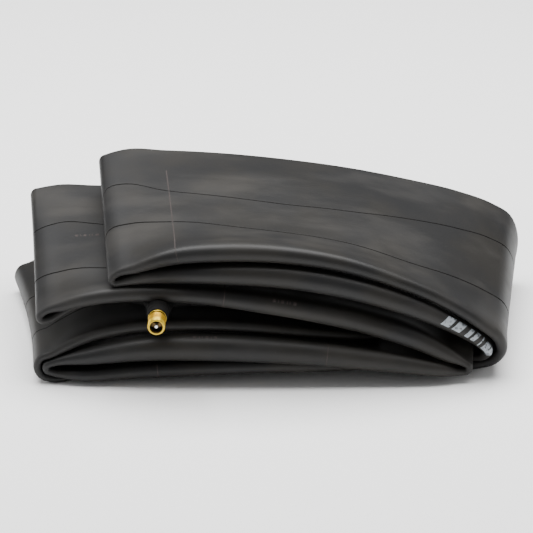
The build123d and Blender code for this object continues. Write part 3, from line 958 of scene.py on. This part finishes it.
# %% Patch and sleeve
HALF_PATCH = (15.0, 10.0)                 # half its length and half its width
PATCH_RISE, PATCH_SUNK = 1.45, 0.15       # how far it rises from its rim, and how deep that is
RINGS, SPOKES = 10, 48
patch_row = row_at("fourth", stem_base[0])
row_width = abs(front_rows[int(patch_row) + 1, 0] - front_rows[int(patch_row), 0])
points = [on_tube(patch_row, 0.0, PATCH_RISE - PATCH_SUNK)]
for ring in range(1, RINGS + 1):
    share = ring / RINGS
    for spoke in range(SPOKES):
        turn = 2 * math.pi * spoke / SPOKES
        row = patch_row + HALF_PATCH[0] / row_width * share * math.cos(turn)
        lift = -PATCH_SUNK + PATCH_RISE * (1 - share ** 3)
        points.append(on_tube(row, HALF_PATCH[1] * share * math.sin(turn), lift))
faces = [(0, 1 + spoke, 1 + (spoke + 1) % SPOKES) for spoke in range(SPOKES)]
faces += grid_faces(RINGS, SPOKES, close_columns=True, start=1)
# the patch gets the blacker valve rubber: painted shade in the gap round the valve
patch = make_mesh("patch_saddle", points, faces, [moulded_rubber])

SLEEVE_STEPS = 64
SLEEVE_OUTLINE = [
    (-8.0, 3.02), (-8.0, 7.4), (-5.0, 7.2), (-2.4, 6.5), (0.4, 5.7), (2.8, 5.2), (4.6, 4.95),
    (5.0, 5.1), (5.7, 5.1), (6.1, 4.85), (8.6, 4.7), (9.0, 4.85), (9.7, 4.85), (10.1, 4.62),
    (12.5, 4.52), (13.0, 4.4), (13.3, 4.1), (13.36, 3.7), (13.36, 3.02),
]


def foot_height(reach):
    """The sleeve's foot is pressed flat between the walls, and is round from 2 mm outward."""
    return 0.50 + 0.50 * float(ramp(reach, -6.0, 2.0))


# the sleeve gets the blacker valve rubber: painted shade in the gap round the valve
sleeve = turned("stem_sleeve", SLEEVE_OUTLINE, SLEEVE_STEPS, [moulded_rubber], foot_height)
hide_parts("valve_patch")
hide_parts("stem_jacket")
for piece in (patch, sleeve):
    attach(piece, "tube")
print("patch and sleeve faces:", len(patch.data.polygons), len(sleeve.data.polygons))

# %% [markdown]
# ## The brass stem
#
# The stem is turned brass with a rolled thread of 32 turns to the inch.  The thread is worn,
# browner towards the groove and bright near the mouth where caps have rubbed it.  It is also
# shallow, and is cut here as a true helix: the radius of every ring of points depends on the
# angle as well as the distance.  A shoulder ring and a groove sit behind it, and the mouth has
# a bevel outside and inside.  The bore and the groove are dull, and are painted dark: painted
# shade.

# %% Stem
THREAD_START, THREAD_END, THREAD_STEP = 15.2, 23.5, 0.1
PITCH, CREST, DEPTH = 25.4 / 32, 3.85, 0.26
FADE_IN, FADE_OUT = 0.5, 0.4          # the thread runs in and out over these lengths
FLANK_SLOPE, ROOT_SHARE = 4.4, 0.9    # how steep the flanks are, and how broad the root is
STEM_STEPS = 96


def thread_radius(reach):
    """The radius of the thread at a distance, as a function of the angle."""
    fade = min(1.0, (reach - THREAD_START) / FADE_IN, (THREAD_END - reach) / FADE_OUT)

    def radius(turn):
        phase = (reach / PITCH - turn / (2 * math.pi)) % 1.0
        flank = min(1.0, max(0.0, FLANK_SLOPE * abs(phase - 0.5) - ROOT_SHARE))
        return CREST - DEPTH * max(0.0, fade) * (1 - flank)

    return radius


outer = [(1.0, 1.2), (1.0, 3.9), (2.6, 3.9), (2.6, 3.0), (13.42, 3.0), (13.42, 3.92), (13.5, 4.02),
         (13.6, 4.05), (14.1, 4.05), (14.22, 4.0), (14.3, 3.9), (14.32, 3.34), (14.4, 3.3),
         (15.1, 3.3), (15.18, 3.36), (15.2, 3.78)]
thread_rings = round((THREAD_END - THREAD_START) / THREAD_STEP)
thread_places = [THREAD_START + THREAD_STEP * k for k in range(1, thread_rings + 1)]
thread = [(reach, thread_radius(reach)) for reach in thread_places]
mouth = [(23.62, 3.8), (23.94, 3.44), (24.0, 3.36), (24.0, 2.98), (23.96, 2.9)]
bore = [(23.7, 2.6), (15.4, 2.6), (14.2, 1.95), (3.2, 1.95), (3.2, 1.2)]
# the middle band is painted shade: the groove and the bore are painted dark
BRIGHT, SHADE_PAINTED, WORN = 0, 1, 2
GROOVE_START = 10         # the first pair of the outline that lies in the groove
WORN_RINGS = 56           # how many rings of the thread are worn
stem_metals = [metals["stem_brass"], metals["painted_shade_brass"], metals["thread_brass"]]
bands = [BRIGHT] * GROOVE_START + [SHADE_PAINTED] * (len(outer) - 1 - GROOVE_START) + [WORN] * WORN_RINGS
bands += [BRIGHT] * (len(outer + thread + mouth) - 1 - len(bands)) + [SHADE_PAINTED] * (len(bore) + 1)
stem = turned("brass_stem", outer + thread + mouth + bore, STEM_STEPS, stem_metals, bands=bands)
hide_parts("valve_stem")
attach(stem, "tube")
print("stem faces:", len(stem.data.polygons))

# %% [markdown]
# ## The valve core
#
# The plug, barrel, pin and seals are small turned pieces whose CAD shape is right, so they stay
# and only get their finishes.

# %% Finishes on the CAD pieces
FINISHES = {
    # the core's brass pieces get the dark brown brass, painted shade deep in the bore
    "core_plug": metals["core_brass"], "core_barrel": metals["core_brass"],
    "seal_cup": metals["core_brass"], "core_pin": metals["pin_steel"],
    "barrel_gasket": seal_plastic, "cup_gasket": seal_rubber,
}
for node, material in FINISHES.items():
    for holder in frame["nodes"][node].material_slots:
        holder.material = material
print("CAD pieces with a finish:", len(FINISHES))

# %% [markdown]
# ## The coil spring
#
# The spring sits between a land in the barrel and the collar of the pin.  On the valve it gets
# shorter when the pin is pushed in; here it is one fixed mesh.

# %% Coil spring
holder = frame["nodes"]["core_spring"]
offsets = np.array([holder.matrix_world @ v.co for v in holder.data.vertices]) / MM - stem_base
reaches = offsets @ stem_way
radii = np.linalg.norm(offsets - reaches[:, None] * stem_way, axis=1)
wire = (radii.max() - radii.min()) / 2
coil_radius = (radii.max() + radii.min()) / 2
low, high = reaches.min() + wire, reaches.max() - wire
COILS, COIL_STEPS, WIRE_STEPS = 8.5, 40, 12
DEAD_COIL = 0.8           # how much of a turn lies nearly flat at both ends
dead_rise = 2.1 * wire    # how far such a coil rises for each turn
SMALL_TURN = 0.01         # for the direction of the wire


def coil_centre(turn):
    """The middle of the wire after a number of turns."""
    live = min(max((turn - DEAD_COIL) / (COILS - 2 * DEAD_COIL), 0.0), 1.0)
    rise = low + dead_rise * min(turn, DEAD_COIL) + (high - low - 2 * DEAD_COIL * dead_rise) * live
    rise += dead_rise * max(0.0, turn - COILS + DEAD_COIL)
    angle = 2 * math.pi * turn
    outward = stem_right * math.cos(angle) + stem_up * math.sin(angle)
    return stem_base + stem_way * rise + outward * coil_radius


coil_count = int(COILS * COIL_STEPS) + 1
points = []
for step in range(coil_count):
    turn = step / COIL_STEPS
    centre = coil_centre(turn)
    ahead = coil_centre(turn + SMALL_TURN) - coil_centre(turn - SMALL_TURN)
    outward = centre - stem_base - stem_way * ((centre - stem_base) @ stem_way)
    outward = outward / np.linalg.norm(outward)
    upward = np.cross(ahead / np.linalg.norm(ahead), outward)
    for k in range(WIRE_STEPS):
        angle = 2 * math.pi * k / WIRE_STEPS
        points.append(centre + (outward * math.cos(angle) + upward * math.sin(angle)) * wire)
faces = grid_faces(coil_count, WIRE_STEPS, close_columns=True)
faces += [tuple(range(WIRE_STEPS)), tuple(reversed(range(len(points) - WIRE_STEPS, len(points))))]
coil = make_mesh("coil_spring", points, faces, [metals["spring_steel"]])
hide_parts("core_spring")
tuple((stem_base + stem_way * low) * MM)
tuple((stem_base + stem_way * high) * MM)
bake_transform(coil)
print("spring wire:", round(2 * wire, 2), "mm, free height:", round(high - low + 2 * wire, 2), "mm")
